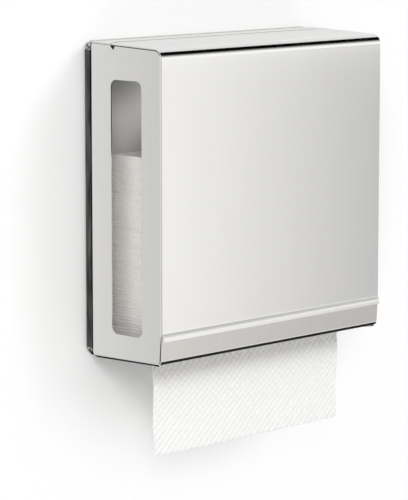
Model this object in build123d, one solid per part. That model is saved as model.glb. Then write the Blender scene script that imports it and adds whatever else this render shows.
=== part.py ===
from build123d import *
from math import atan, degrees, hypot
import os

# Wall-held dispenser for folded paper hand towels, in bent stainless sheet. Millimetres.
# X runs along the wall, -Y out of the wall, Z up. The origin is the middle of the wall plate's back.

# Towels that the casing is made for
towel_width = 240.0
towel_room = 20.0           # between the towels and the casing's outside, at each side
towel_ply = 0.8

# Whole casing
body_width = towel_width + 2 * towel_room
body_depth = 98.0
wall_height = 278.8
top_fall = 3.5              # the top is this much lower at the front than at the wall
foot_rise = 2.6             # the lower edge is this much higher at the front than at the wall
sheet = 1.0                 # stainless sheet of casing and cover
bend = 0.8                  # usual inside radius of a bend
seam = 0.4                  # visible joint between two fixed pieces
cover_gap = 0.5             # shut gap between cover and casing front
lid_gap = 0.8               # shut gap between cover and the side panels' top edges
overrun = 5.0               # how far a cutting tool reaches past what it cuts

# Wall plate, a drawn pan
pan_depth = 8.8
pan_sheet = 1.2
pan_corner = 9.5
pan_bend = 1.8
wall_hole_diameter = 5.5
wall_hole_inset_x = 35.0
wall_hole_inset_z = 29.4

# Casing screws and their standoffs
rear_flange = 13.0
standoff_flats = 8.0        # across the flats of the hexagon
screw_diameter = 4.0
screw_head_diameter = 7.6
screw_head_height = 2.4
screw_head_chamfer = 0.8
screw_length = 6.0
screw_slip = 0.05           # radial room of the screw in its standoff
screw_room = 0.25           # radial room of the screw in its flange hole
side_screw_inset = 44.4     # from the casing's top and lower edge
cross_screw_inset = 75.0    # from the casing's sides

# Side panels
front_flange = 11.0
top_relief = 13.0           # the upright flanges stop this far from the casing's top
foot_relief = 30.0          # and this far from its lowest edge
panel_corner = 8.5          # rounded corner at the back of the lower edge
foot_flange = 10.0          # turned in along the lower edge
foot_bend = 1.0
foot_web = 6.0
foot_seat = 0.2             # between the lower flanges and the ledges above them
ear_width = 12.0
ear_drop = 6.0
ear_reach = 6.5             # the ear's tip before the hinge's middle
window_width = 38.0
window_corner = 6.5
window_shift = 0.95         # before the middle of the panel
window_sill = 21.0          # above the ledges
window_head = 32.0          # below the casing's top at the wall
notch_width = 5.4
notch_depth = 3.6
notch_slant = 3.6

# Hinge across the top
hinge_y = 28.3              # axis from the wall, along the top
hinge_drop = 1.3            # axis below the top's outer face
knuckle_radius = 1.6
knuckle_room = 0.3          # between a knuckle and the other leaf, and between knuckles
knuckle_count = 11
pin_diameter = 1.6
pin_slip = 0.05             # radial running fit of the pin
pin_head_radius = 1.4
pin_head_length = 0.5
leaf_sheet = 0.8
leaf_length = 12.0
leaf_end_room = 1.2         # between the leaf's end and the ear

# Cover
crown_bend = 8.0            # inside radius where top turns into front
lip_start = 28.6            # heights of the flared lip above the ledges: start, knee and lower edge
lip_knee = 25.2
lip_end = 21.1
lip_shift = 2.0             # how far the lip's lower edge stands proud of the front
lip_knee_share = 0.535      # of that shift, reached at the knee
lip_bend = 6.0
lip_knee_bend = 40.0

# Apron and rear shelf, which carry the towels
apron_top = 25.2
apron_lean = 1.6            # the apron's lower edge is set back this far from its top
apron_relief = 0.8          # the side panels stay this much further behind the apron than behind the cover
apron_bend = 3.6
apron_hem_length = 4.0
apron_hem_room = 0.4
apron_hem_bend = 0.15
apron_hem_inset = 2.0       # the hem stops short of the side panels' flanges
front_ledge = 20.0          # from the casing's front to the mouth
mouth_width = 28.0
mouth_lip = 4.2             # height of the rolled lip along the mouth
mouth_bend = 1.6
tab_height = 13.0
tab_length = 11.0
tab_inset = 6.2             # from the casing's front to the tab
shelf_flange = 15.0

# Cover bumpers
bumper_radius = 3.6
bumper_head = 0.4
bumper_stem_radius = 1.5
bumper_bulb_radius = 2.2
bumper_bulb_length = 1.4
bumper_slip = 0.05
bumper_head_inset = 42.5    # from the casing's top at the wall
bumper_foot_inset = 59.5    # above the ledges

# Towel stack and hanging towel
stack_spread = 4.0          # the loose stack is this much wider than one towel, at each side
stack_rear_room = 1.0       # between the stack and the screw heads
stack_front_room = 1.1      # between the stack and the side panels' front flanges
stack_top = 175.5           # above the ledges
stack_round = 3.0
stack_seat = 0.3
towel_setback = 13.5        # from the mouth's front edge
towel_hang = 88.0           # below the ledges
towel_sway = 1.6
towel_kick = 2.2
towel_curl = 45.0
towel_fold_share = 1 / 3    # places of the two bends, as shares of the hanging length
towel_foot_share = 2 / 3

# Places that several pieces share
half_width = body_width / 2
floor_z = -wall_height / 2
crown_z = wall_height / 2
top_slope_share = top_fall / body_depth
top_angle = degrees(atan(top_slope_share))
foot_slope_share = foot_rise / body_depth
foot_angle = degrees(atan(foot_slope_share))
ledge_z = floor_z + foot_rise + sheet + foot_seat
flange_y = pan_depth + seam
front_y = body_depth - sheet - cover_gap
foot_front = front_y - apron_lean - apron_relief
hinge_gap = knuckle_radius + knuckle_room
strip_front = hinge_y - hinge_gap
cover_rear = hinge_y + hinge_gap
ear_end = hinge_y + ear_reach
inner_half = half_width - sheet
ledge_half = inner_half - sheet - bend
flange_mid = (rear_flange + sheet + bend) / 2
front_flange_mid = (front_flange + sheet + bend) / 2
hinge_half = half_width - ear_width - leaf_end_room
knuckle_pitch = 2 * hinge_half / knuckle_count
pin_radius = pin_diameter / 2
screw_radius = screw_diameter / 2
flange_half = half_width - rear_flange - seam
stack_floor = ledge_z + mouth_lip + stack_seat
stack_rear = flange_y + sheet + screw_head_height + stack_rear_room
stack_front = front_y - sheet - stack_front_room
mouth_front = body_depth - front_ledge
mouth_rear = mouth_front - mouth_width
towel_y = mouth_front - towel_setback
bumper_places = (ledge_z + bumper_foot_inset, crown_z - bumper_head_inset)
top_frame = Pos(0, 0, crown_z) * Rot(top_angle, 0, 0)
foot_frame = Pos(0, 0, floor_z) * Rot(-foot_angle, 0, 0)
hinge_frame = top_frame * Pos(0, -hinge_y, -hinge_drop)


def top_at(y):
    """Height of the top's outer face at a distance y in front of the wall."""
    return crown_z - top_slope_share * y


def foot_at(y):
    """Height of the side panels' lower edge at a distance y in front of the wall."""
    return floor_z + foot_slope_share * y


def apron_at(z):
    """Distance of the apron's outer face from the wall at a height z."""
    return body_depth - apron_lean * (ledge_z + apron_top - z) / apron_top


def offset_line(path, distance):
    """The open line path moved to its left by distance, with mitred corners."""
    normals = []
    for (ax, ay), (bx, by) in zip(path, path[1:]):
        run = hypot(bx - ax, by - ay)
        normals.append((-(by - ay) / run, (bx - ax) / run))
    ends = [normals[0]] + normals + [normals[-1]]
    moved = []
    for (px, py), (ux, uy), (vx, vy) in zip(path, ends, ends[1:]):
        reach = distance / (1 + ux * vx + uy * vy)
        moved.append((px + (ux + vx) * reach, py + (uy + vy) * reach))
    return moved


def turns_left(a, b, c):
    """True where the line a, b, c turns to its left at b."""
    return (b[0] - a[0]) * (c[1] - b[1]) - (b[1] - a[1]) * (c[0] - b[0]) > 0


def bent_sheet(plane, path, inside_radii, thickness=sheet):
    """Section of a bent sheet: path is its right face, and each corner has an inside bend radius."""
    path_radii = []
    back_radii = []
    for a, b, c, radius in zip(path, path[1:], path[2:], inside_radii):
        left = turns_left(a, b, c)
        path_radii.append(radius + thickness if left else radius)
        back_radii.append(radius if left else radius + thickness)
    back = offset_line(path, thickness)
    right_face = FilletPolyline(*path, radius=path_radii)
    left_face = FilletPolyline(*back, radius=back_radii)
    ends = [Line(path[0], back[0]), Line(path[-1], back[-1])]
    return plane * make_face([*right_face.edges(), *left_face.edges(), *ends])


def across(section, width=body_width):
    """A section in the YZ plane drawn out evenly to both sides."""
    return extrude(section, width / 2, both=True)


def rod(radius, length, x=0.0):
    """A round rod along X, centred on x."""
    return Pos(x, 0, 0) * Rot(0, 90, 0) * Cylinder(radius, length)


def out_rod(radius, x, z, start_y, end_y):
    """A round rod out of the wall, between two distances from it."""
    return extrude(Plane.XZ.offset(start_y) * Pos(x, z) * Circle(radius), end_y - start_y)


def block(x0, x1, y0, y1, z0, z1):
    """A box between two distances from the wall, y0 nearer."""
    return Pos((x0 + x1) / 2, -(y0 + y1) / 2, (z0 + z1) / 2) * Box(x1 - x0, y1 - y0, z1 - z0)


def both_sides(shape):
    """The shape and its mirror image in the YZ plane, as one group."""
    return Compound([*shape.solids(), *mirror(shape, about=Plane.YZ).solids()])


def screw_places():
    """Middles of the casing screws, as X and Z."""
    side_x = half_width - flange_mid
    top_z = top_at(flange_y) - flange_mid
    low_z = ledge_z + (shelf_flange + sheet + bend) / 2
    side_z = crown_z - side_screw_inset
    cross_x = half_width - cross_screw_inset
    sides = [(x, z) for x in (-side_x, side_x) for z in (-side_z, side_z)]
    ends = [(x, z) for x in (-cross_x, cross_x) for z in (low_z, top_z)]
    return sides + ends


def screw_holes():
    """Clearance holes for the casing screws through the rear flanges."""
    radius = screw_radius + screw_room
    return [out_rod(radius, x, z, pan_depth, flange_y + sheet + overrun) for x, z in screw_places()]


def wall_plate():
    outline = RectangleRounded(body_width, wall_height, pan_corner)
    pan = extrude(Plane.XZ * outline, pan_depth)
    pan = fillet(pan.faces().sort_by(Axis.Y)[-1].edges(), pan_bend + pan_sheet)
    inside_width = body_width - 2 * pan_sheet
    inside_height = wall_height - 2 * pan_sheet
    inside = RectangleRounded(inside_width, inside_height, pan_corner - pan_sheet)
    hollow = extrude(Plane.XZ.offset(pan_sheet) * inside, pan_depth)
    hollow = fillet(hollow.faces().sort_by(Axis.Y)[-1].edges(), pan_bend)
    pan -= hollow
    hole_x = half_width - wall_hole_inset_x
    hole_z = crown_z - wall_hole_inset_z
    for x in (-hole_x, hole_x):
        for z in (-hole_z, hole_z):
            pan -= out_rod(wall_hole_diameter / 2, x, z, -overrun, pan_sheet + overrun)
    return pan


def hex_standoffs():
    """Hexagon standoffs on the pan's floor, bored for the casing screws."""
    hexagon = RegularPolygon(standoff_flats / 2, 6, major_radius=False)
    standoffs = []
    for x, z in screw_places():
        body = extrude(Plane.XZ.offset(pan_sheet) * Pos(x, z) * hexagon, flange_y - pan_sheet)
        bore = out_rod(screw_radius + screw_slip, x, z, pan_sheet, flange_y + overrun)
        standoffs.append(body - bore)
    return Compound([standoff.solid() for standoff in standoffs])


def casing_screws():
    seat = flange_y + sheet
    screws = []
    for x, z in screw_places():
        head = out_rod(screw_head_diameter / 2, x, z, seat, seat + screw_head_height)
        head = chamfer(head.faces().sort_by(Axis.Y)[0].edges(), screw_head_chamfer)
        shank = out_rod(screw_radius, x, z, seat - screw_length, seat)
        screws.append(head + shank)
    return Compound([screw.solid() for screw in screws])


def panel_outline():
    """Side view of a panel's web: rising foot, front edge set back along the apron, notch before the ear."""
    ear_z = 2 * sheet + bend
    lid_z = sheet + lid_gap
    foot_z = sheet + foot_bend
    notch_end = ear_end + notch_width
    points = [
        (-flange_y, foot_at(flange_y) + foot_z),
        (-foot_front, foot_at(foot_front) + foot_z),
        (-front_y + apron_relief, ledge_z + apron_top),
        (-front_y, ledge_z + apron_top),
        (-front_y, top_at(front_y) - lid_z),
        (-notch_end, top_at(notch_end) - lid_z),
        (-ear_end - notch_slant, top_at(ear_end) - lid_z - notch_depth),
        (-ear_end, top_at(ear_end) - ear_z),
        (-flange_y, top_at(flange_y) - ear_z),
    ]
    outline = make_face(Polyline(*points, close=True))
    front_corner = outline.vertices().filter_by(lambda v: v.Y > 0).sort_by(Axis.X)[0]
    return Plane.YZ * fillet(front_corner, crown_bend - cover_gap)


def plan(points, top, thickness):
    """A flat piece under the sloping top: its outline seen from above, its upper face and its thickness."""
    outline = Plane.XY.offset(top) * make_face(Polyline(*points, close=True))
    return top_frame * extrude(outline, -thickness)


def ear_slant():
    """Both ends of the slanted edge at the left ear's tip, seen from above."""
    return (-half_width, -ear_end), (-half_width + ear_width, -hinge_y)


def ear():
    """Left ear: turned in along the top at the back, with a slanted tip."""
    path = [
        (-half_width + ear_width, -sheet),
        (-half_width, -sheet),
        (-half_width, -sheet - ear_drop),
    ]
    start = flange_y + sheet + bend
    turned = extrude(bent_sheet(Plane.XZ.offset(start), path, [bend]), ear_end - start)
    tip, root = ear_slant()
    return top_frame * turned - plan([tip, root, (root[0], tip[1])], 0, 2 * sheet + bend)


def foot():
    """Left lower flange, turned in along the rising lower edge and mitred at its front corner."""
    root = -half_width + sheet + foot_bend
    tip = -half_width + foot_flange
    path = [
        (-half_width, foot_web),
        (-half_width, 0),
        (tip, 0),
    ]
    start = flange_y + sheet + bend
    flange = extrude(bent_sheet(Plane.XZ.offset(start), path, [foot_bend]), foot_front - start)
    corner = [
        (root - overrun, -foot_front - overrun),
        (tip + overrun, -foot_front - overrun),
        (tip + overrun, -foot_front + tip - root + overrun),
    ]
    mitre = Plane.XY.offset(-overrun) * make_face(Polyline(*corner, close=True))
    return foot_frame * (flange - extrude(mitre, 2 * overrun))


def side_panel():
    """Left side panel: web with flanges at rear, front and foot, an ear at the top and a viewing slot."""
    path = [
        (-half_width + rear_flange, -flange_y),
        (-half_width, -flange_y),
        (-half_width, -front_y),
        (-half_width + front_flange, -front_y),
    ]
    channel = bent_sheet(Plane.XY.offset(floor_z), path, [bend, bend])
    panel = extrude(channel, wall_height)
    panel &= extrude(panel_outline(), -body_width)
    flat_start = -half_width + sheet
    for z0, z1 in ((floor_z, floor_z + foot_relief), (crown_z - top_relief, crown_z)):
        panel -= block(flat_start, 0, 0, body_depth, z0, z1)
    panel += ear()
    panel += foot()
    corner = Plane.YZ.offset(-half_width - overrun) * Pos(-flange_y, foot_at(flange_y))
    round_off = Rectangle(panel_corner, panel_corner, align=Align.MIN)
    round_off -= Pos(panel_corner, panel_corner) * Circle(panel_corner)
    low_round = corner * mirror(round_off, about=Plane.YZ)
    panel -= extrude(low_round, foot_flange + 2 * overrun)
    window_height = crown_z - window_head - ledge_z - window_sill
    window_z = ledge_z + window_sill + window_height / 2
    window_y = (flange_y + front_y) / 2 + window_shift
    window = Pos(-window_y, window_z) * RectangleRounded(window_width, window_height, window_corner)
    panel -= extrude(Plane.YZ.offset(-half_width - overrun) * window, sheet + 2 * overrun)
    for hole in screw_holes():
        panel -= hole
    for z in bumper_places:
        panel -= bumper_stem(z, bumper_stem_radius + bumper_slip, overrun)
    return panel


def top_rear_strip():
    """Fixed band at the back of the top, with a flange down behind and a tip over each ear."""
    path = [
        (-flange_y, top_at(flange_y) - rear_flange),
        (-flange_y, top_at(flange_y)),
        (-strip_front, top_at(strip_front)),
    ]
    strip = across(bent_sheet(Plane.YZ, path, [bend]))
    low_z = top_at(flange_y) - sheet - bend
    for side in (-1, 1):
        x0, x1 = sorted((side * flange_half, side * (half_width + overrun)))
        strip -= block(x0, x1, 0, strip_front, floor_z, low_z)
    tip, root = ear_slant()
    strip_tip = plan([(tip[0], -strip_front), tip, root, (root[0], -strip_front)], 0, sheet)
    strip += strip_tip + mirror(strip_tip, about=Plane.YZ)
    for hole in screw_holes():
        strip -= hole
    return strip


def knuckles(first):
    """Every second knuckle of the hinge, bored for the pin, from the knuckle numbered first."""
    length = knuckle_pitch - knuckle_room
    bored = []
    for number in range(first, knuckle_count, 2):
        x = -hinge_half + (number + 1 / 2) * knuckle_pitch
        bored.append((x, rod(knuckle_radius, length, x) - rod(pin_radius + pin_slip, length + overrun, x)))
    return bored


def hinge_leaf(first, side):
    """One leaf of the hinge; side is 1 for the leaf behind the pin and -1 for the one before it."""
    top = hinge_drop - sheet
    plate_mid = side * (hinge_gap + leaf_length / 2)
    leaf_z = top - leaf_sheet / 2
    leaf = Pos(0, plate_mid, leaf_z) * Box(2 * hinge_half, leaf_length, leaf_sheet)
    root = pin_radius + pin_slip + (knuckle_radius - pin_radius - pin_slip) / 2
    for x, knuckle in knuckles(first):
        tongue = Box(knuckle_pitch - knuckle_room, hinge_gap - root, leaf_sheet)
        leaf += knuckle + Pos(x, side * (root + hinge_gap) / 2, leaf_z) * tongue
    return hinge_frame * leaf


def hinge_pin():
    half_length = hinge_half + knuckle_room
    pin = rod(pin_radius, 2 * half_length)
    for side in (-1, 1):
        pin += rod(pin_head_radius, pin_head_length, side * (half_length + pin_head_length / 2))
    return hinge_frame * pin


def front_cover():
    """Top and front in one bent sheet, with a flared finger lip below and corners clipped round the ears."""
    path = [
        (-cover_rear, top_at(cover_rear)),
        (-body_depth, top_at(body_depth)),
        (-body_depth, ledge_z + lip_start),
        (-body_depth - lip_shift * lip_knee_share, ledge_z + lip_knee),
        (-body_depth - lip_shift, ledge_z + lip_end),
    ]
    cover = across(bent_sheet(Plane.YZ, path, [crown_bend, lip_bend, lip_knee_bend]))
    clip_end = ear_end + lid_gap
    clip_width = ear_width * (clip_end - cover_rear) / ear_reach
    corner = [
        (-half_width, -cover_rear),
        (-half_width, -clip_end),
        (-half_width + clip_width, -cover_rear),
    ]
    clip = plan(corner, overrun, 2 * overrun)
    return cover - clip - mirror(clip, about=Plane.YZ)


def ledge_tabs(start_y, end_y):
    """Tabs turned up at both ends of a ledge, flat against the side panels."""
    path = [
        (-inner_half, ledge_z + tab_height),
        (-inner_half, ledge_z),
        (0, ledge_z),
    ]
    tab = extrude(bent_sheet(Plane.XZ.offset(start_y), path, [bend]), end_y - start_y)
    return tab + mirror(tab, about=Plane.YZ)


def behind_apron(x, z0, z1):
    """What lies behind the apron's leaning front sheet, from x to the left and between two heights."""
    room = sheet + seam
    points = [
        (0, z0),
        (room - apron_at(z0), z0),
        (room - apron_at(z1), z1),
        (0, z1),
    ]
    section = Plane.YZ.offset(x) * make_face(Polyline(*points, close=True))
    return extrude(section, -body_width)


def apron():
    """Front strip below the cover: hemmed top edge, bend under, ledge and rolled lip along the mouth."""
    hem_y = body_depth - 2 * sheet - apron_hem_room
    top_z = ledge_z + apron_top
    path = [
        (-hem_y, top_z - apron_hem_length),
        (-hem_y, top_z),
        (-body_depth, top_z),
        (-body_depth + apron_lean, ledge_z),
        (-mouth_front, ledge_z),
        (-mouth_front, ledge_z + mouth_lip),
    ]
    section = bent_sheet(Plane.YZ, path, [apron_hem_bend, apron_hem_bend, apron_bend, mouth_bend])
    strip = across(section)
    hem_half = half_width - front_flange - apron_hem_inset
    beside_hem = behind_apron(-hem_half, top_z - apron_hem_length - overrun, top_z + overrun)
    beside_ledge = behind_apron(-ledge_half, ledge_z - overrun, top_z)
    for tool in (beside_hem, beside_ledge):
        strip -= tool
        strip -= mirror(tool, about=Plane.YZ)
    tab_end = body_depth - tab_inset
    return strip + ledge_tabs(tab_end - tab_length, tab_end)


def rear_shelf():
    """Rear ledge of the mouth, with a flange up the back and a rolled lip along the mouth."""
    path = [
        (-mouth_rear, ledge_z + mouth_lip),
        (-mouth_rear, ledge_z),
        (-flange_y, ledge_z),
        (-flange_y, ledge_z + shelf_flange),
    ]
    shelf = across(bent_sheet(Plane.YZ, path, [mouth_bend, bend]), 2 * ledge_half)
    for side in (-1, 1):
        x0, x1 = sorted((side * flange_half, side * (half_width + overrun)))
        shelf -= block(x0, x1, 0, flange_y + sheet + bend, floor_z - overrun, crown_z)
    shelf += ledge_tabs(mouth_rear - mouth_bend - sheet - tab_length, mouth_rear - mouth_bend - sheet)
    for hole in screw_holes():
        shelf -= hole
    return shelf


def bumper_stem(z, radius, extra=0.0):
    """Round stem of a bumper through the left front flange, or its hole where it has extra length."""
    x = -half_width + front_flange_mid
    return out_rod(radius, x, z, front_y - sheet - extra, front_y + extra)


def cover_bumpers():
    """Push-in bumpers: flat head before the flange, stem through it, bulb behind it."""
    x = -half_width + front_flange_mid
    bumpers = []
    for z in bumper_places:
        head = out_rod(bumper_radius, x, z, front_y, front_y + bumper_head)
        bulb_start = front_y - sheet - bumper_bulb_length
        bulb = out_rod(bumper_bulb_radius, x, z, bulb_start, front_y - sheet)
        bumpers.append(head + bumper_stem(z, bumper_stem_radius) + bulb)
    return both_sides(Compound([bumper.solid() for bumper in bumpers]))


def towel_stack():
    half_stack = towel_width / 2 + stack_spread
    stack = block(-half_stack, half_stack, stack_rear, stack_front, stack_floor, ledge_z + stack_top)
    long_edges = stack.edges().filter_by(Axis.X)
    return fillet(long_edges, stack_round)


def hanging_towel():
    """The next towel, hanging out of the mouth with a slight sway at its fold and a kick at its foot."""
    low_z = ledge_z - towel_hang
    high_z = ledge_z + mouth_lip
    fold_z = ledge_z - towel_hang * towel_fold_share
    foot_z = ledge_z - towel_hang * towel_foot_share
    path = [
        (-towel_y, high_z),
        (-towel_y - towel_sway, fold_z),
        (-towel_y, foot_z),
        (-towel_y - towel_kick, low_z),
    ]
    return across(bent_sheet(Plane.YZ, path, [towel_curl, towel_curl], towel_ply), towel_width)


left_panel = side_panel()
parts = {
    "wall_plate": wall_plate(),
    "hex_standoffs": hex_standoffs(),
    "casing_screws": casing_screws(),
    "left_side_panel": left_panel,
    "right_side_panel": mirror(left_panel, about=Plane.YZ),
    "top_rear_strip": top_rear_strip(),
    "apron": apron(),
    "rear_shelf": rear_shelf(),
    "hinge_fixed_leaf": hinge_leaf(0, 1),
    "hinge_pin": hinge_pin(),
    "cover_bumpers": cover_bumpers(),
    "towel_stack": towel_stack(),
    "front_cover": front_cover(),
    "hinge_moving_leaf": hinge_leaf(1, -1),
    "hanging_towel": hanging_towel(),
}

os.makedirs("parts", exist_ok=True)
for name, shape in parts.items():
    export_step(shape, f"parts/{name}.step")
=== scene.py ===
from math import cos, pi, radians, sin, tau

import bpy
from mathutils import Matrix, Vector


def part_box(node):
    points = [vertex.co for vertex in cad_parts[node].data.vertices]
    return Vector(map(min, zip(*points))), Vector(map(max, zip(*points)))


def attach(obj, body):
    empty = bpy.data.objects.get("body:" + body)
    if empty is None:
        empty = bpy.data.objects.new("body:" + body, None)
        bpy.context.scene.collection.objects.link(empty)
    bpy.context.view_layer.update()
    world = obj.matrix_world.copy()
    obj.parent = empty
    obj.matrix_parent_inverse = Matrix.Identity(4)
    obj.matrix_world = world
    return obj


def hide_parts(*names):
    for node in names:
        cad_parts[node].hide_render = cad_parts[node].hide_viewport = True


# A wall-held paper towel dispenser in satin stainless sheet, on a white wall. Metres.
# X runs along the wall, -Y out of it, Z up; the origin is the middle of the rear pan's back.

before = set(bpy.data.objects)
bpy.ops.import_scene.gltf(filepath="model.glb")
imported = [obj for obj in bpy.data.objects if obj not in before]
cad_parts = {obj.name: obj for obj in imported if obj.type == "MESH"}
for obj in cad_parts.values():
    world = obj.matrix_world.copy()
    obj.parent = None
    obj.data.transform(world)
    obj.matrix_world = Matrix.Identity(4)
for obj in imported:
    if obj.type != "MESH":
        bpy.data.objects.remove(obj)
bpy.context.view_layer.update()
scene = bpy.context.scene
scene.view_settings.view_transform = "Standard"
MM = 0.001
EMBOSS_WIDTH, EMBOSS_HEIGHT = 7.8 * MM, 6.5 * MM  # one diamond of the towel's embossing


def linear(hex_colour):
    """An sRGB hex colour as linear RGBA."""
    channels = [int(hex_colour[i:i + 2], 16) / 255 for i in (1, 3, 5)]
    return [c / 12.92 if c <= 0.04045 else ((c + 0.055) / 1.055) ** 2.4 for c in channels] + [1.0]


def add(tree, kind, inputs=None, **settings):
    """Add a node. Settings are its properties; inputs are socket values, or the sockets that feed them."""
    node = tree.nodes.new(kind)
    for name, value in settings.items():
        setattr(node, name, value)
    for name, value in (inputs or {}).items():
        if isinstance(value, bpy.types.NodeSocket):
            tree.links.new(value, node.inputs[name])
        else:
            node.inputs[name].default_value = value
    return node


def finish_named(name, metallic, roughness):
    """A new material with its tree and its Principled shader."""
    material = bpy.data.materials.new(name)
    material.use_nodes = True
    shader = material.node_tree.nodes["Principled BSDF"]
    shader.inputs["Metallic"].default_value = metallic
    shader.inputs["Roughness"].default_value = roughness
    return material, material.node_tree, shader


def per_metre(*sizes_mm):
    """Noise scale along each axis for features of these sizes in millimetres."""
    return [1 / (size * MM) for size in sizes_mm]


# Materials

def satin_stainless(name, grain_mm):
    """Stainless sheet, satin ground: a soft mirror whose fine straight grain breaks up the reflections.

    The grit leaves lines about 0.1 mm wide; they are drawn about 1 mm wide, because finer ones don't show.
    Cloudy patches 70 mm wide, from uneven grinding, vary the gloss a little.
    """
    material, tree, shader = finish_named(name, 1.0, 0.16)
    place = add(tree, "ShaderNodeTexCoord").outputs["Object"]
    along = add(tree, "ShaderNodeMapping", {"Vector": place, "Scale": per_metre(*grain_mm)}).outputs["Vector"]
    grain = add(tree, "ShaderNodeTexNoise", {"Vector": along, "Scale": 1.0, "Detail": 3.0}).outputs["Fac"]
    wide = add(tree, "ShaderNodeMapping", {"Vector": place, "Scale": per_metre(70, 70, 70)}).outputs["Vector"]
    cloud = add(tree, "ShaderNodeTexNoise", {"Vector": wide, "Scale": 1.0, "Detail": 2.0}).outputs["Fac"]
    tint = add(tree, "ShaderNodeValToRGB", {"Fac": grain})
    tint.color_ramp.elements[0].position = 0.3
    tint.color_ramp.elements[0].color = linear("#E0DFDD")
    tint.color_ramp.elements[1].position = 0.7
    tint.color_ramp.elements[1].color = linear("#E2E1DF")
    tree.links.new(tint.outputs["Color"], shader.inputs["Base Color"])
    mixed = add(tree, "ShaderNodeMix", {0: 0.35, 2: grain, 3: cloud}, data_type="FLOAT").outputs[0]
    rough = add(tree, "ShaderNodeMapRange", {"Value": mixed, "From Min": 0.3, "From Max": 0.7,
                                             "To Min": 0.14, "To Max": 0.18})
    tree.links.new(rough.outputs["Result"], shader.inputs["Roughness"])
    bump = add(tree, "ShaderNodeBump", {"Height": grain, "Strength": 0.006, "Distance": 0.1 * MM})
    tree.links.new(bump.outputs["Normal"], shader.inputs["Normal"])
    return material


def drawn_pan_steel(half_width, half_height, edge_y):
    """Drawn steel pan: a bright polished rim, with a painted dark reflection, almost black, along both sides.

    Inside it is pickled, matt and grey. Drawing leaves faint lines 2.5 mm apart around the rim; they vary its
    gloss and paint lighter streaks into the painted dark reflection.
    """
    material, tree, shader = finish_named("drawn_pan_steel", 1.0, 0.14)
    place = add(tree, "ShaderNodeTexCoord").outputs["Object"]
    drawn = add(tree, "ShaderNodeMapping", {"Vector": place, "Scale": per_metre(30, 2.5, 30)}).outputs[0]
    lines = add(tree, "ShaderNodeTexNoise", {"Vector": drawn, "Scale": 1.0, "Detail": 2.0}).outputs["Fac"]
    # Painted dark reflection: a near-black colour, lighter in streaks, stands in for a dark reflection along
    # the sides.
    smoke = add(tree, "ShaderNodeValToRGB", {"Fac": lines})
    smoke.color_ramp.elements[0].position = 0.35
    smoke.color_ramp.elements[0].color = linear("#323231")
    smoke.color_ramp.elements[1].position = 0.7
    smoke.color_ramp.elements[1].color = linear("#5D5D5B")

    # The rim faces away from the middle or is the front edge; the rest is inside or at the back.
    flat = add(tree, "ShaderNodeVectorMath", {0: place, 1: (1, 0, 1)}, operation="MULTIPLY").outputs[0]
    facing = add(tree, "ShaderNodeNewGeometry").outputs["Normal"]
    away = add(tree, "ShaderNodeVectorMath", {0: flat, 1: facing}, operation="DOT_PRODUCT").outputs["Value"]
    outer = add(tree, "ShaderNodeMath", {0: away, 1: 10 * MM}, operation="GREATER_THAN").outputs[0]
    axes = add(tree, "ShaderNodeSeparateXYZ", {0: place}).outputs
    edge = add(tree, "ShaderNodeMath", {0: axes["Y"], 1: edge_y + 0.05 * MM}, operation="LESS_THAN")
    rim = add(tree, "ShaderNodeMath", {0: outer, 1: edge.outputs[0]}, operation="MAXIMUM").outputs[0]

    # X tells the sides with the painted dark reflection. At the corners, told by Z, blotches 3 mm wide leave
    # it out, so that the steel's own reflections show there in patches.
    apart = add(tree, "ShaderNodeMath", {0: axes["X"]}, operation="ABSOLUTE").outputs[0]
    side = add(tree, "ShaderNodeMapRange", {"Value": apart, "From Min": half_width - 8 * MM,
                                            "From Max": half_width - 4 * MM}).outputs["Result"]
    tall = add(tree, "ShaderNodeMath", {0: axes["Z"]}, operation="ABSOLUTE").outputs[0]
    corner = add(tree, "ShaderNodeMapRange", {"Value": tall, "From Min": half_height - 8.5 * MM,
                                              "From Max": half_height - 7.5 * MM}).outputs["Result"]
    blotch = add(tree, "ShaderNodeTexNoise", {"Vector": place, "Scale": per_metre(3)[0], "Detail": 1.0})
    worn = add(tree, "ShaderNodeMapRange", {"Value": blotch.outputs["Fac"], "From Min": 0.44,
                                            "From Max": 0.62}).outputs["Result"]
    bare = add(tree, "ShaderNodeMath", {0: corner, 1: worn}, operation="MULTIPLY").outputs[0]
    dark = add(tree, "ShaderNodeMath", {0: side, 1: bare}, operation="SUBTRACT", use_clamp=True).outputs[0]
    outside = add(tree, "ShaderNodeMix", {0: dark, 6: linear("#D6D4D1"), 7: smoke.outputs["Color"]},
                  data_type="RGBA").outputs[2]
    both = add(tree, "ShaderNodeMix", {0: rim, 6: linear("#C4C3C0"), 7: outside}, data_type="RGBA").outputs[2]
    tree.links.new(both, shader.inputs["Base Color"])
    tree.links.new(rim, shader.inputs["Metallic"])
    polish = add(tree, "ShaderNodeMapRange", {"Value": lines, "To Min": 0.09, "To Max": 0.2})
    rough = add(tree, "ShaderNodeMix", {0: rim, 2: 0.65, 3: polish.outputs["Result"]}, data_type="FLOAT")
    tree.links.new(rough.outputs[0], shader.inputs["Roughness"])
    return material


def mill_finish_strip():
    """Rolled stainless strip of the hinge, as it left the mill: greyer, duller, with a faint rolled grain."""
    material, tree, shader = finish_named("mill_finish_strip", 1.0, 0.32)
    place = add(tree, "ShaderNodeTexCoord").outputs["Object"]
    rolled = add(tree, "ShaderNodeMapping", {"Vector": place, "Scale": per_metre(40, 1, 1)}).outputs["Vector"]
    grain = add(tree, "ShaderNodeTexNoise", {"Vector": rolled, "Scale": 1.0, "Detail": 3.0}).outputs["Fac"]
    tint = add(tree, "ShaderNodeValToRGB", {"Fac": grain})
    tint.color_ramp.elements[0].color = linear("#A9A8A5")
    tint.color_ramp.elements[1].color = linear("#C6C5C1")
    tree.links.new(tint.outputs["Color"], shader.inputs["Base Color"])
    rough = add(tree, "ShaderNodeMapRange", {"Value": grain, "To Min": 0.25, "To Max": 0.4})
    tree.links.new(rough.outputs["Result"], shader.inputs["Roughness"])
    return material


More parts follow.
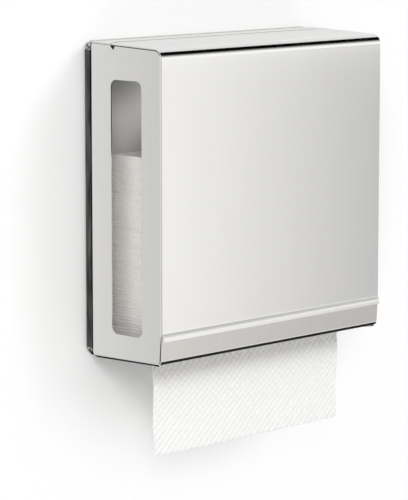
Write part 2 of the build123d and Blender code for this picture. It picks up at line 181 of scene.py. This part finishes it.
def zinc_plated_steel():
    """Bright zinc on screws and standoffs: pale blue-grey with a slightly crystalline, uneven gloss."""
    material, tree, shader = finish_named("zinc_plated_steel", 1.0, 0.3)
    place = add(tree, "ShaderNodeTexCoord").outputs["Object"]
    crystals = add(tree, "ShaderNodeTexVoronoi", {"Vector": place, "Scale": per_metre(0.9)[0]})
    flecks = crystals.outputs["Distance"]
    tint = add(tree, "ShaderNodeValToRGB", {"Fac": flecks})
    tint.color_ramp.elements[0].color = linear("#C9CCCE")
    tint.color_ramp.elements[1].color = linear("#AEB3B6")
    tree.links.new(tint.outputs["Color"], shader.inputs["Base Color"])
    rough = add(tree, "ShaderNodeMapRange", {"Value": flecks, "To Min": 0.22, "To Max": 0.4})
    tree.links.new(rough.outputs["Result"], shader.inputs["Roughness"])
    return material


def moulded_silicone():
    """Moulded silicone bumpers: milky grey, soft sheen, light goes a little way in."""
    material, tree, shader = finish_named("moulded_silicone", 0.0, 0.48)
    shader.inputs["Subsurface Weight"].default_value = 0.25
    shader.inputs["Subsurface Radius"].default_value = [1.5 * MM] * 3
    place = add(tree, "ShaderNodeTexCoord").outputs["Object"]
    mottle = add(tree, "ShaderNodeTexNoise", {"Vector": place, "Scale": per_metre(1.5)[0]}).outputs["Fac"]
    tint = add(tree, "ShaderNodeValToRGB", {"Fac": mottle})
    tint.color_ramp.elements[0].color = linear("#BDBFBE")
    tint.color_ramp.elements[1].color = linear("#CFD0CE")
    tree.links.new(tint.outputs["Color"], shader.inputs["Base Color"])
    return material


def tissue(name, dark, pale, pressed=None):
    """Soft tissue paper: matt and fluffy, with short pressed fibres that mottle it.

    Fibres are about 0.03 mm thick; they are drawn as 0.6 mm flecks so that they show. Where it is embossed,
    the pressed lines are painted greyer, as painted shade of the embossing, by the share that the last
    argument gives.
    """
    material, tree, shader = finish_named(name, 0.0, 0.92)
    shader.inputs["Sheen Weight"].default_value = 0.15
    shader.inputs["Specular IOR Level"].default_value = 0.2
    place = add(tree, "ShaderNodeTexCoord").outputs["Object"]
    laid = add(tree, "ShaderNodeMapping", {"Vector": place, "Scale": per_metre(2.2, 1.2, 0.6)}).outputs[0]
    fibres = add(tree, "ShaderNodeTexNoise", {"Vector": laid, "Scale": 1.0, "Detail": 4.0}).outputs["Fac"]
    tint = add(tree, "ShaderNodeValToRGB", {"Fac": fibres})
    tint.color_ramp.elements[0].position = 0.3
    tint.color_ramp.elements[0].color = linear(dark)
    tint.color_ramp.elements[1].position = 0.65
    tint.color_ramp.elements[1].color = linear(pale)
    colour = tint.outputs["Color"]
    # Painted shade: the pressed lines of the embossing are darkened in the colour.
    if pressed:
        across_lines = (tau / EMBOSS_WIDTH, 0, -tau / EMBOSS_HEIGHT)
        turn = add(tree, "ShaderNodeVectorMath", {0: place, 1: across_lines}, operation="DOT_PRODUCT")
        raised = add(tree, "ShaderNodeMath", {0: turn.outputs["Value"]}, operation="COSINE").outputs[0]
        share = add(tree, "ShaderNodeMapRange", {"Value": raised, "From Min": 1.0, "From Max": -1.0,
                                                 "To Min": 1.0, "To Max": 1.0 - pressed}).outputs["Result"]
        colour = add(tree, "ShaderNodeVectorMath", {0: colour, "Scale": share}, operation="SCALE").outputs[0]
    tree.links.new(colour, shader.inputs["Base Color"])
    bump = add(tree, "ShaderNodeBump", {"Height": fibres, "Strength": 0.2, "Distance": 0.1 * MM})
    tree.links.new(bump.outputs["Normal"], shader.inputs["Normal"])
    return material


front_grain = satin_stainless("satin_stainless_cross_grain", (1.0, 60, 60))
side_grain = satin_stainless("satin_stainless_side_grain", (60, 1.0, 60))
pan_low, pan_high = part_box("wall_plate")
pan_steel = drawn_pan_steel(pan_high[0], pan_high[2], pan_low[1])
strip_steel = mill_finish_strip()
zinc = zinc_plated_steel()
silicone = moulded_silicone()
stack_tissue = tissue("folded_tissue", "#DCD8D4", "#EDE9E7")
towel_tissue = tissue("embossed_tissue", "#F1F0EF", "#FAF9F9", 0.075)

finishes = {
    "wall_plate": pan_steel,
    "hex_standoffs": zinc,
    "casing_screws": zinc,
    "left_side_panel": side_grain,
    "right_side_panel": side_grain,
    "top_rear_strip": front_grain,
    "apron": front_grain,
    "rear_shelf": front_grain,
    "hinge_fixed_leaf": strip_steel,
    "hinge_pin": strip_steel,
    "cover_bumpers": silicone,
    "front_cover": front_grain,
    "hinge_moving_leaf": strip_steel,
}
for node, material in finishes.items():
    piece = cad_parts[node]
    piece.data.materials.clear()
    piece.data.materials.append(material)


# Folded towels

def applied(owner, name):
    """The owner's evaluated mesh as a plain object with no modifiers; the owner is removed."""
    evaluated = owner.evaluated_get(bpy.context.evaluated_depsgraph_get())
    mesh = bpy.data.meshes.new_from_object(evaluated)
    mesh.name = name
    piece = bpy.data.objects.new(name, mesh)
    scene.collection.objects.link(piece)
    bpy.data.objects.remove(owner)
    return piece


def folded_towels_tree():
    """Geometry Nodes tree: a pile of folded towels with round folds, uneven edges and a common slow wave."""
    tree = bpy.data.node_groups.new("folded_towels", "GeometryNodeTree")
    kinds = {"Width": "Float", "Depth": "Float", "Thickness": "Float", "Pitch": "Float", "Towels": "Int",
             "Fold Inset": "Float", "Slip": "Vector", "Wave": "Float", "Lowest": "Vector", "Seed": "Int",
             "Paper": "Material"}
    for name, kind in kinds.items():
        tree.interface.new_socket(name, in_out="INPUT", socket_type="NodeSocket" + kind)
    tree.interface.new_socket("Towels", in_out="OUTPUT", socket_type="NodeSocketGeometry")
    size = add(tree, "NodeGroupInput").outputs

    # One towel: a flat block whose upper and lower layers draw in a little, so that its edges look folded.
    extent = add(tree, "ShaderNodeCombineXYZ", {"X": size["Width"], "Y": size["Depth"],
                                                "Z": size["Thickness"]})
    towel = add(tree, "GeometryNodeMeshCube", {"Size": extent.outputs[0], "Vertices X": 19, "Vertices Y": 15,
                                               "Vertices Z": 3}).outputs["Mesh"]
    place = add(tree, "GeometryNodeInputPosition").outputs[0]
    height = add(tree, "ShaderNodeSeparateXYZ", {0: place}).outputs["Z"]
    level = add(tree, "ShaderNodeMath", {0: height, 1: size["Thickness"]}, operation="DIVIDE").outputs[0]
    layer = add(tree, "ShaderNodeMath", {0: level, 1: level}, operation="MULTIPLY").outputs[0]
    inset = add(tree, "ShaderNodeMath", {0: layer, 1: size["Fold Inset"]}, operation="MULTIPLY").outputs[0]
    draw_x = add(tree, "ShaderNodeMath", {0: inset, 1: size["Width"]}, operation="DIVIDE").outputs[0]
    draw_y = add(tree, "ShaderNodeMath", {0: inset, 1: size["Depth"]}, operation="DIVIDE").outputs[0]
    draw = add(tree, "ShaderNodeCombineXYZ", {"X": draw_x, "Y": draw_y}).outputs[0]
    pull = add(tree, "ShaderNodeVectorMath", {0: place, 1: draw}, operation="MULTIPLY").outputs[0]
    # The layer is at most a quarter and the place at most half a side, so that -8 gives the whole inset.
    pull = add(tree, "ShaderNodeVectorMath", {0: pull, "Scale": -8.0}, operation="SCALE").outputs[0]
    towel = add(tree, "GeometryNodeSetPosition", {"Geometry": towel, "Offset": pull}).outputs[0]

    # The pile: one towel per point, each slipped a little sideways.
    rise = add(tree, "ShaderNodeCombineXYZ", {"Z": size["Pitch"]}).outputs[0]
    points = add(tree, "GeometryNodeMeshLine", {"Count": size["Towels"], "Start Location": size["Lowest"],
                                                "Offset": rise}, mode="OFFSET").outputs[0]
    back = add(tree, "ShaderNodeVectorMath", {0: size["Slip"], "Scale": -1.0}, operation="SCALE").outputs[0]
    slip = add(tree, "FunctionNodeRandomValue", {"Min": back, "Max": size["Slip"], "Seed": size["Seed"]},
               data_type="FLOAT_VECTOR").outputs[0]
    points = add(tree, "GeometryNodeSetPosition", {"Geometry": points, "Offset": slip}).outputs[0]
    pile = add(tree, "GeometryNodeInstanceOnPoints", {"Points": points, "Instance": towel}).outputs[0]
    pile = add(tree, "GeometryNodeRealizeInstances", {"Geometry": pile}).outputs[0]

    # Slow waves 30 to 120 mm long lift neighbouring towels together; short ones 6 mm long fray the edges.
    slow_waves = per_metre(120, 30, 60)
    slow_place = add(tree, "ShaderNodeVectorMath", {0: place, 1: slow_waves}, operation="MULTIPLY")
    slow = add(tree, "ShaderNodeTexNoise", {"Vector": slow_place.outputs[0], "Scale": 1.0, "Detail": 1.0})
    lift = add(tree, "ShaderNodeMath", {0: slow.outputs["Fac"], 1: 0.5}, operation="SUBTRACT").outputs[0]
    lift = add(tree, "ShaderNodeMath", {0: lift, 1: size["Wave"]}, operation="MULTIPLY").outputs[0]
    short_waves, fray_depth = per_metre(6, 6, 2.5), [1.0 * MM, 0.6 * MM, 0.25 * MM]
    short_place = add(tree, "ShaderNodeVectorMath", {0: place, 1: short_waves}, operation="MULTIPLY")
    short = add(tree, "ShaderNodeTexNoise", {"Vector": short_place.outputs[0], "Scale": 1.0, "Detail": 1.0})
    fray = add(tree, "ShaderNodeVectorMath", {0: short.outputs["Color"], 1: [0.5] * 3}, operation="SUBTRACT")
    fray = add(tree, "ShaderNodeVectorMath", {0: fray.outputs[0], 1: fray_depth}, operation="MULTIPLY")
    lift = add(tree, "ShaderNodeCombineXYZ", {"Z": lift}).outputs[0]
    shift = add(tree, "ShaderNodeVectorMath", {0: lift, 1: fray.outputs[0]}, operation="ADD").outputs[0]
    pile = add(tree, "GeometryNodeSetPosition", {"Geometry": pile, "Offset": shift}).outputs[0]
    pile = add(tree, "GeometryNodeSetMaterial", {"Geometry": pile, "Material": size["Paper"]}).outputs[0]
    add(tree, "NodeGroupOutput", {"Towels": pile})
    return tree


def pile_of_towels():
    """The folded towels that show through the side slots, in the space of the solid stack."""
    low, high = (Vector(corner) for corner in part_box("towel_stack"))
    margin = Vector((0.5, 0.3, 0.3)) * MM
    low, high = low + margin, high - margin
    middle = (low + high) / 2
    slip = (0.5 * MM, 0.4 * MM, 0.0)
    fray_room = (1.2 * MM, 0.8 * MM)
    towels = 62
    pitch = (high.z - low.z) / towels
    owner = bpy.data.objects.new("pile_maker", bpy.data.meshes.new("pile_maker"))
    scene.collection.objects.link(owner)
    modifier = owner.modifiers.new("pile", "NODES")
    tree = folded_towels_tree()
    modifier.node_group = tree
    values = {
        "Width": high.x - low.x - fray_room[0],
        "Depth": high.y - low.y - fray_room[1],
        "Thickness": 0.97 * pitch,
        "Pitch": pitch,
        "Towels": towels,
        "Fold Inset": 0.28 * MM,
        "Slip": slip,
        "Wave": 2.2 * MM,
        "Lowest": (middle.x, middle.y, low.z + pitch / 2),
        "Seed": 7,
        "Paper": stack_tissue,
    }
    for socket in tree.interface.items_tree:
        if socket.in_out == "INPUT":
            modifier[socket.identifier] = values[socket.name]
    pile = applied(owner, "folded_towels")
    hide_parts("towel_stack")
    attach(pile, "casing")
    return pile


def pulled_towel():
    """The towel that hangs out of the mouth: thin embossed tissue that sways a little."""
    low, high = (Vector(corner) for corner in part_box("hanging_towel"))
    width = high.x - low.x
    length = high.z - low.z
    back_y = high.y - 0.45 * MM
    columns, rows = 300, 116
    # Sway of the hanging sheet, as distances out from its upper edge at thirds of its length.
    sway = [0.0, -1.6 * MM, -0.2 * MM, -1.9 * MM]
    # The embossing is deeper along the rising diagonal. Towards its foot the sheet narrows and ripples.
    rising_depth, falling_depth = 0.3 * MM, 0.19 * MM
    foot_narrowing = 0.02
    ripple_height, ripples = 0.5 * MM, 1.9
    scallop_height, scallop_width = 0.3 * MM, EMBOSS_WIDTH / 2
    verts = []
    for j in range(rows + 1):
        down = j / rows
        third = min(int(down * 3), 2)
        ease = (1 - cos((down * 3 - third) * pi)) / 2
        bow = sway[third] + (sway[third + 1] - sway[third]) * ease
        for i in range(columns + 1):
            across = i / columns - 0.5
            x = across * width * (1.0 - foot_narrowing * down ** 1.5)
            z = high.z - down * length
            rising = cos(tau * (x / EMBOSS_WIDTH - z / EMBOSS_HEIGHT))
            falling = cos(tau * (x / EMBOSS_WIDTH + z / EMBOSS_HEIGHT))
            emboss = rising_depth * rising + falling_depth * falling
            ripple = ripple_height * down * sin(tau * (across * ripples + 0.15))
            scallop = scallop_height * down ** 8 * cos(tau * x / scallop_width)
            verts.append((x, back_y + bow + emboss + ripple, z + scallop))
    faces = []
    for j in range(rows):
        for i in range(columns):
            a = j * (columns + 1) + i
            faces.append((a, a + columns + 1, a + columns + 2, a + 1))
    mesh = bpy.data.meshes.new("towel_sheet")
    mesh.from_pydata(verts, [], faces)
    mesh.materials.append(towel_tissue)
    mesh.polygons.foreach_set("use_smooth", [True] * len(mesh.polygons))
    owner = bpy.data.objects.new("towel_sheet", mesh)
    scene.collection.objects.link(owner)
    plies = owner.modifiers.new("plies", "SOLIDIFY")
    plies.thickness = 0.35 * MM
    plies.offset = 0.0
    towel = applied(owner, "pulled_towel_sheet")
    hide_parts("hanging_towel")
    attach(towel, "pulled_towel")
    return towel


pile = pile_of_towels()
pulled_towel()


# Wall, floor, lamps and camera

def seen_rays(tree):
    """A socket that is 1 where the camera sees a surface, also in a mirror or through something clear."""
    ray = add(tree, "ShaderNodeLightPath").outputs
    plain, mirrored, through = ray["Is Camera Ray"], ray["Is Glossy Ray"], ray["Is Transmission Ray"]
    direct = add(tree, "ShaderNodeMath", {0: plain, 1: mirrored}, operation="MAXIMUM").outputs[0]
    return add(tree, "ShaderNodeMath", {0: direct, 1: through}, operation="MAXIMUM").outputs[0]


def stage_finish(name, colour):
    """Painted surface: matt and even, and plain white where it is seen far from the middle."""
    material, tree, shader = finish_named(name, 0.0, 0.9)
    shader.inputs["Specular IOR Level"].default_value = 0.1
    shader.inputs["Base Color"].default_value = linear(colour)
    place = add(tree, "ShaderNodeTexCoord").outputs["Object"]
    spread = add(tree, "ShaderNodeMapping", {"Vector": place, "Scale": (1, 1, 1.1)}).outputs["Vector"]
    far = add(tree, "ShaderNodeVectorMath", {0: spread}, operation="LENGTH").outputs["Value"]
    fade = add(tree, "ShaderNodeMapRange", {"Value": far, "From Min": 0.22, "From Max": 0.31, "To Min": 0.1,
                                            "To Max": 0.9}, interpolation_type="SMOOTHSTEP").outputs["Result"]
    share = add(tree, "ShaderNodeMath", {0: seen_rays(tree), 1: fade}, operation="MULTIPLY").outputs[0]
    white = add(tree, "ShaderNodeEmission", {"Color": (1, 1, 1, 1), "Strength": 1.0}).outputs[0]
    front = add(tree, "ShaderNodeMixShader", {0: share, 1: shader.outputs[0], 2: white}).outputs[0]
    # Seen from behind, the wall is clear, so that the pan's back shows.
    behind = add(tree, "ShaderNodeNewGeometry").outputs["Backfacing"]
    clear = add(tree, "ShaderNodeBsdfTransparent").outputs[0]
    both = add(tree, "ShaderNodeMixShader", {0: behind, 1: front, 2: clear}).outputs[0]
    tree.links.new(both, tree.nodes["Material Output"].inputs["Surface"])
    return material


def stage_plane(name, corners, material, faces=None):
    """A flat piece of the stage: one face around all corners, or the faces that are given."""
    mesh = bpy.data.meshes.new(name)
    mesh.from_pydata(corners, [], faces or [range(len(corners))])
    mesh.materials.append(material)
    plane = bpy.data.objects.new(name, mesh)
    scene.collection.objects.link(plane)
    return plane


FLOOR_Z = -0.6
REACH = 4.0
WALL_Y = 0.4 * MM


def upright_frame(left, right, low, high):
    """Four corners in the wall's plane, from the lower left one round to the upper left one."""
    return [(left, WALL_Y, low), (right, WALL_Y, low), (right, WALL_Y, high), (left, WALL_Y, high)]


def white_wall():
    """The wall, left open behind the pan, so that light reaches the pan's back."""
    overlap = 4 * MM
    left, right = pan_low[0] + overlap, pan_high[0] - overlap
    low, high = pan_low[2] + overlap, pan_high[2] - overlap
    corners = upright_frame(-REACH, REACH, FLOOR_Z, REACH) + upright_frame(left, right, low, high)
    faces = [(i, (i + 1) % 4, 4 + (i + 1) % 4, 4 + i) for i in range(4)]
    stage_plane("wall", corners, stage_finish("white_wall_paint", "#FBFBFB"), faces)


def pale_floor():
    """The floor, from the wall outwards."""
    outline = [(-REACH, -REACH), (REACH, -REACH), (REACH, WALL_Y), (-REACH, WALL_Y)]
    corners = [(x, y, FLOOR_Z) for x, y in outline]
    stage_plane("floor", corners, stage_finish("pale_floor_paint", "#ECECEA"))


white_wall()
pale_floor()


def mirror_card(name, low, high, left, right, colour="#FFFFFF"):
    """A card that only the steel's reflections see, as photographers set them.

    Low and high are opposite corners: it is upright where they have the same Y, and lies flat where they
    have the same Z. Left and right are its levels of light at its two ends along X.
    """
    material = bpy.data.materials.new(name)
    material.use_nodes = True
    material.cycles.emission_sampling = "NONE"
    tree = material.node_tree
    place = add(tree, "ShaderNodeTexCoord").outputs["Object"]
    x = add(tree, "ShaderNodeSeparateXYZ", {0: place}).outputs["X"]
    level = add(tree, "ShaderNodeMapRange", {"Value": x, "From Min": low[0], "From Max": high[0],
                                             "To Min": left, "To Max": right}).outputs["Result"]
    glow = add(tree, "ShaderNodeEmission", {"Color": linear(colour), "Strength": level}).outputs[0]
    tree.links.new(glow, tree.nodes["Material Output"].inputs["Surface"])
    corners = [low, (high[0], low[1], low[2]), high, (low[0], high[1], high[2])]
    card = stage_plane(name, corners, material)
    card.visible_camera = False
    card.visible_diffuse = False
    card.visible_transmission = False
    card.visible_shadow = False


# A wide card before the dispenser, in two parts, gives the front its soft slope of light from all sides.
# The right part is in steps of height for apron, front and lip: lower edge, upper edge, left and right level
# and colour.
CARD_Y, CARD_LEFT, CARD_SPLIT, CARD_RIGHT = -0.9, -1.3, 0.58, 1.3
right_steps = [
    (FLOOR_Z, -0.37, 0.858, 0.53, "#FFFBF9"),
    (-0.37, 0.064, 1.265, 0.43, "#FFFFFF"),
    (0.064, 0.1, 1.388, 2.0, "#FFFFFF"),
    (0.1, 0.3, 0.62, 0.62, "#FFFFFF"),
    (0.3, 0.75, 1.0, 1.0, "#FFFFFF"),
]
for number, (low_z, high_z, *look) in enumerate(right_steps):
    mirror_card(f"front_card_{number}", (CARD_SPLIT, CARD_Y, low_z), (CARD_RIGHT, CARD_Y, high_z), *look)
mirror_card("left_card", (CARD_LEFT, CARD_Y, FLOOR_Z), (CARD_SPLIT, CARD_Y, 0.75), 0.62, 1.15)

# Cards on the wall: a slope of grey beside the left panel, a strip above the top and a dark line below.
PAPER_Y = -1 * MM
mirror_card("side_card", (-0.35, PAPER_Y, -0.25), (-0.14, PAPER_Y, 0.2), 0.62, 0.9)
mirror_card("top_card", (-0.16, PAPER_Y, 0.1396), (0.45, PAPER_Y, 0.1555), 0.87, 0.87)
mirror_card("wall_flag", (-0.149, PAPER_Y, -0.144), (0.2, PAPER_Y, -0.1396), 0, 0)

# Small cards close to the bends draw the bright and dark lines along them; so near, the flat panels don't
# see them.
UPPER_Z, LOWER_Z = 0.147, -0.1398
mirror_card("crown_glow", (-0.2, -0.13, 0.124), (0.2, -0.13, 0.141), 1.25, 1.25)
mirror_card("upper_flag_edge", (-0.2, -0.1303, UPPER_Z), (0.2, -0.1163, UPPER_Z), 0.4, 0.4)
mirror_card("upper_flag", (-0.2, -0.1163, UPPER_Z), (0.2, -0.0972, UPPER_Z), 0, 0)
mirror_card("lower_flag", (-0.149, -0.1045, LOWER_Z), (0.152, PAPER_Y, LOWER_Z), 0.03, 0.03)


def soft_lamp(name, place, size, watts, target=(0, 0, 0), spread=180):
    """A soft square lamp that faces a target and stays out of the mirrors."""
    lamp = bpy.data.lights.new(name, "AREA")
    lamp.size = size
    lamp.energy = watts
    lamp.spread = radians(spread)
    lamp_object = bpy.data.objects.new(name, lamp)
    lamp_object.location = place
    lamp_object.rotation_euler = (Vector(target) - Vector(place)).to_track_quat("-Z", "Y").to_euler()
    lamp_object.visible_camera = False
    lamp_object.visible_glossy = False
    scene.collection.objects.link(lamp_object)


soft_lamp("key_lamp", (1.1, -1.65, 1.4), 1.0, 15)
soft_lamp("fill_lamp", (-1.43, -1.42, 0.9), 0.7, 19)
# A very weak lamp inside stands for the light that the bright steel walls throw about there.
soft_lamp("inside_lamp", (-0.02, -0.045, 0.085), 0.03, 0.0073, (-0.08, 0, 0.075), 70)


def room_light():
    """Even pale room that lights everything from all around, and is plain white where it is seen."""
    world = bpy.data.worlds.new("studio")
    world.use_nodes = True
    tree = world.node_tree
    level = add(tree, "ShaderNodeMapRange", {"Value": seen_rays(tree), "To Min": 0.55, "To Max": 1.0})
    background = tree.nodes["Background"]
    background.inputs["Color"].default_value = (1, 1, 1, 1)
    tree.links.new(level.outputs["Result"], background.inputs["Strength"])
    scene.world = world


room_light()


def photo_camera():
    """The camera fitted to the photo's edges: turned to the left of the front and a little above."""
    turn, fall, distance = radians(45.13), radians(8.54), 2.316
    target = Vector((-40.4, -49.0, -50.3)) * MM
    outward = Vector((-sin(turn) * cos(fall), -cos(turn) * cos(fall), sin(fall)))
    lens = bpy.data.cameras.new("photo_camera")
    lens.sensor_fit = "VERTICAL"
    lens.sensor_height = 36.0
    lens.lens = 186.7
    camera = bpy.data.objects.new("photo_camera", lens)
    camera.location = target + outward * distance
    camera.rotation_euler = (-outward).to_track_quat("-Z", "Y").to_euler()
    scene.collection.objects.link(camera)
    scene.camera = camera


photo_camera()
